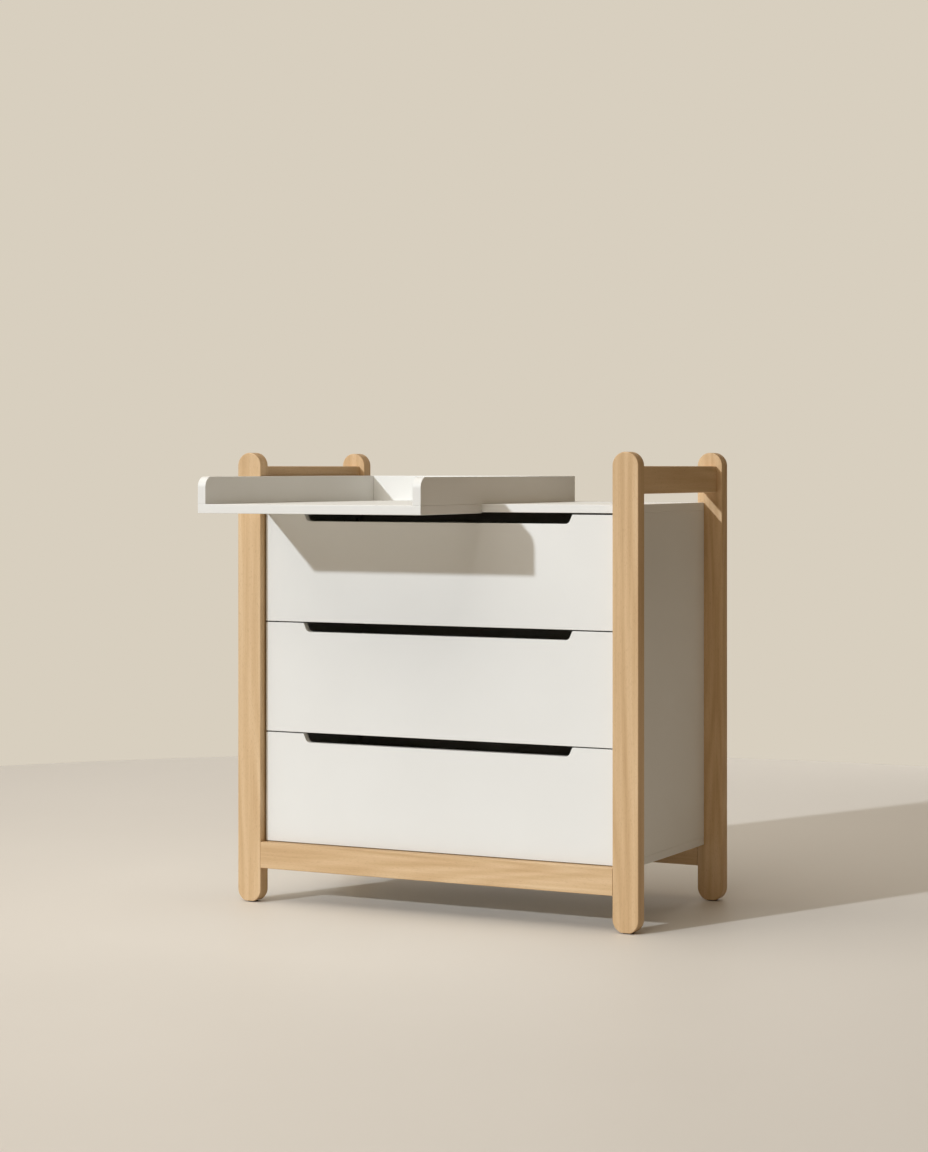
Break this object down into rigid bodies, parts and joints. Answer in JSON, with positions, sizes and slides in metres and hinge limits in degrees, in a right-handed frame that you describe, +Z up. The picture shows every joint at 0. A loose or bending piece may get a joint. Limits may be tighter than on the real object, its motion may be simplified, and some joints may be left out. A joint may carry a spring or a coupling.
{
  "type": "changing table",
  "caption": "Changing table: drawer chest in a wood frame of round-ended posts, with a three-walled changing top that overhangs the front.",
  "frame": {"origin": "on the floor, under the middle of the whole outline's box", "axes": "+Z up, front and drawers towards -Y, +X to the right seen from the front"},
  "size_m": [0.892, 0.706, 0.9199],
  "materials": {
    "frame_wood": "clear satin oil on light solid wood",
    "dowel_wood": "plain turned wood",
    "white_board": "smooth matt white coating on board",
    "drawer_board": "off-white coated board",
    "steel": "zinc plated steel",
    "zinc": "die-cast zinc",
    "glide_plastic": "dark moulded nylon"
  },
  "bodies": {
    "chest": {"front_left_post": "frame_wood", "front_right_post": "frame_wood", "back_left_post": "frame_wood", "back_right_post": "frame_wood", "left_side_rail": "frame_wood", "right_side_rail": "frame_wood", "front_rail": "frame_wood", "back_rail": "frame_wood", "foot_glides": "glide_plastic", "left_side_board": "white_board", "right_side_board": "white_board", "bottom_board": "white_board", "top_board": "white_board", "back_board": "drawer_board", "wood_dowels": "dowel_wood", "cam_studs": "steel", "cam_discs": "zinc", "long_screws": "steel", "rail_brackets": "steel", "anti_tip_brackets": "steel", "bracket_screws": "steel", "extension_board": "white_board", "tray_left_wall": "white_board", "tray_right_wall": "white_board", "tray_back_wall": "white_board", "extension_pins": "steel", "tray_screws": "steel", "outer_runners": "steel", "outer_runner_screws": "steel"},
    "bottom_drawer": {"bottom_drawer_front": "white_board", "bottom_drawer_left_side": "drawer_board", "bottom_drawer_right_side": "drawer_board", "bottom_drawer_back": "drawer_board", "bottom_drawer_floor": "drawer_board", "bottom_drawer_cams": "zinc", "bottom_drawer_screws": "steel", "bottom_drawer_inner_runners": "steel", "bottom_drawer_runner_screws": "steel"},
    "bottom_drawer_slides": {"bottom_drawer_middle_runners": "steel"},
    "middle_drawer": {"middle_drawer_front": "white_board", "middle_drawer_left_side": "drawer_board", "middle_drawer_right_side": "drawer_board", "middle_drawer_back": "drawer_board", "middle_drawer_floor": "drawer_board", "middle_drawer_cams": "zinc", "middle_drawer_screws": "steel", "middle_drawer_inner_runners": "steel", "middle_drawer_runner_screws": "steel"},
    "middle_drawer_slides": {"middle_drawer_middle_runners": "steel"},
    "top_drawer": {"top_drawer_front": "white_board", "top_drawer_left_side": "drawer_board", "top_drawer_right_side": "drawer_board", "top_drawer_back": "drawer_board", "top_drawer_floor": "drawer_board", "top_drawer_cams": "zinc", "top_drawer_screws": "steel", "top_drawer_inner_runners": "steel", "top_drawer_runner_screws": "steel"},
    "top_drawer_slides": {"top_drawer_middle_runners": "steel"}
  },
  "joints": [
    {"name": "bottom_drawer_pull", "type": "slide", "parent": "chest", "child": "bottom_drawer", "axis": [0, -1, 0], "range_m": [0, 0.33]},
    {"name": "bottom_drawer_slide_run", "type": "slide", "parent": "chest", "child": "bottom_drawer_slides", "axis": [0, -1, 0], "range_m": [0, 0.165]},
    {"name": "middle_drawer_pull", "type": "slide", "parent": "chest", "child": "middle_drawer", "axis": [0, -1, 0], "range_m": [0, 0.33]},
    {"name": "middle_drawer_slide_run", "type": "slide", "parent": "chest", "child": "middle_drawer_slides", "axis": [0, -1, 0], "range_m": [0, 0.165]},
    {"name": "top_drawer_pull", "type": "slide", "parent": "chest", "child": "top_drawer", "axis": [0, -1, 0], "range_m": [0, 0.33]},
    {"name": "top_drawer_slide_run", "type": "slide", "parent": "chest", "child": "top_drawer_slides", "axis": [0, -1, 0], "range_m": [0, 0.165]}
  ],
  "couplings": [
    {"joint": "bottom_drawer_slide_run", "follows": "bottom_drawer_pull", "ratio": 0.5},
    {"joint": "middle_drawer_slide_run", "follows": "middle_drawer_pull", "ratio": 0.5},
    {"joint": "top_drawer_slide_run", "follows": "top_drawer_pull", "ratio": 0.5}
  ]
}
